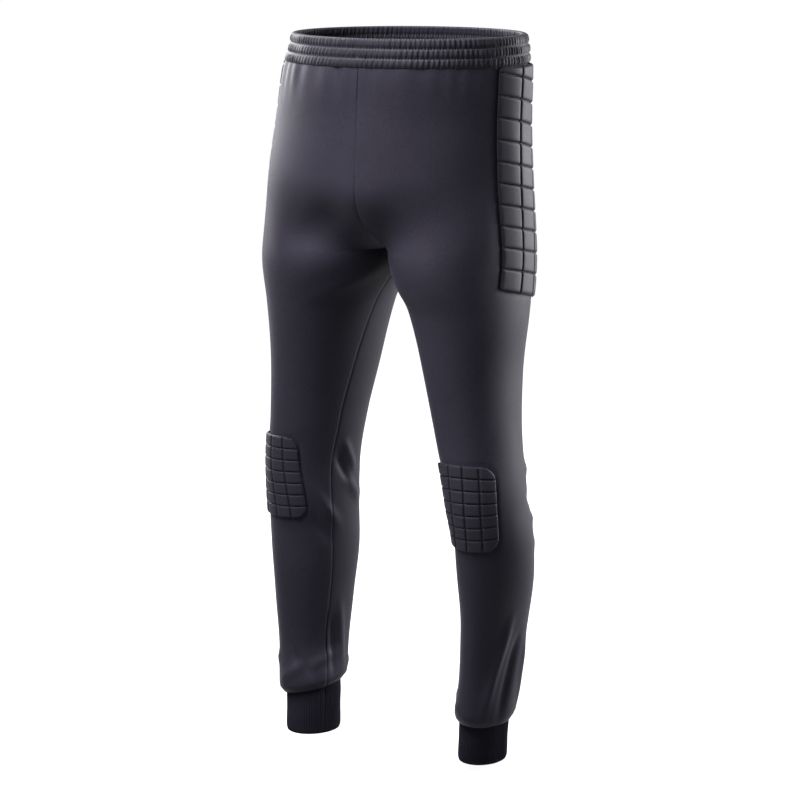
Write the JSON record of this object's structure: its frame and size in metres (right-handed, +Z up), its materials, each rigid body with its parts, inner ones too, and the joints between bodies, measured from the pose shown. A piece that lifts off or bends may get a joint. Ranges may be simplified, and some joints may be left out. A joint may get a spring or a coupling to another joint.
{
  "type": "hockey pants",
  "caption": "Long knitted goalkeeper trousers with a gathered elastic waistband, quilted block pads on the hips and knees, and close ribbed ankle cuffs.",
  "frame": {"origin": "middle of the waist opening, at the wearer's waist", "axes": "+X to the wearer's left, -Y to the front of the wearer, +Z up"},
  "size_m": [0.4176, 0.272, 0.975],
  "materials": {
    "knit": "smooth charcoal knit with a soft sheen",
    "pad_knit": "charcoal knit moulded over foam blocks",
    "band_rib": "gathered dark knit",
    "cuff_rib": "matt near-black fine rib",
    "lining": "matt mesh lining",
    "foam": "closed-cell foam",
    "elastic": "woven elastic"
  },
  "bodies": {
    "hips": {"waistband_casing": "band_rib", "waist_elastic": "elastic", "front_seat_panel_left": "knit", "back_seat_panel_left": "knit", "hip_pad_cover_left": "pad_knit", "hip_pad_foam_left": "foam", "hip_pad_backing_left": "lining", "front_seat_panel_right": "knit", "back_seat_panel_right": "knit", "hip_pad_cover_right": "pad_knit", "hip_pad_foam_right": "foam", "hip_pad_backing_right": "lining"},
    "thigh_left": {"front_thigh_panel_left": "knit", "back_thigh_panel_left": "knit", "knee_pad_cover_left": "pad_knit", "knee_pad_foam_left": "foam", "knee_pad_backing_left": "lining"},
    "thigh_right": {"front_thigh_panel_right": "knit", "back_thigh_panel_right": "knit", "knee_pad_cover_right": "pad_knit", "knee_pad_foam_right": "foam", "knee_pad_backing_right": "lining"},
    "shin_left": {"front_shin_panel_left": "knit", "back_shin_panel_left": "knit", "ankle_cuff_left": "cuff_rib"},
    "shin_right": {"front_shin_panel_right": "knit", "back_shin_panel_right": "knit", "ankle_cuff_right": "cuff_rib"}
  },
  "joints": [
    {"name": "left_hip", "type": "hinge", "parent": "hips", "child": "thigh_left", "pos_m": [0.08, 0.01, -0.24], "axis": [-1, 0, 0], "range_deg": [-15, 75]},
    {"name": "right_hip", "type": "hinge", "parent": "hips", "child": "thigh_right", "pos_m": [-0.13, 0.01, -0.24], "axis": [-1, 0, 0], "range_deg": [-15, 75]},
    {"name": "left_knee", "type": "hinge", "parent": "thigh_left", "child": "shin_left", "pos_m": [0.144, -0.034, -0.59], "axis": [0.9903, -0.1392, 0], "range_deg": [0, 90]},
    {"name": "right_knee", "type": "hinge", "parent": "thigh_right", "child": "shin_right", "pos_m": [-0.147, -0.01, -0.59], "axis": [0.891, -0.454, 0], "range_deg": [0, 90]}
  ]
}
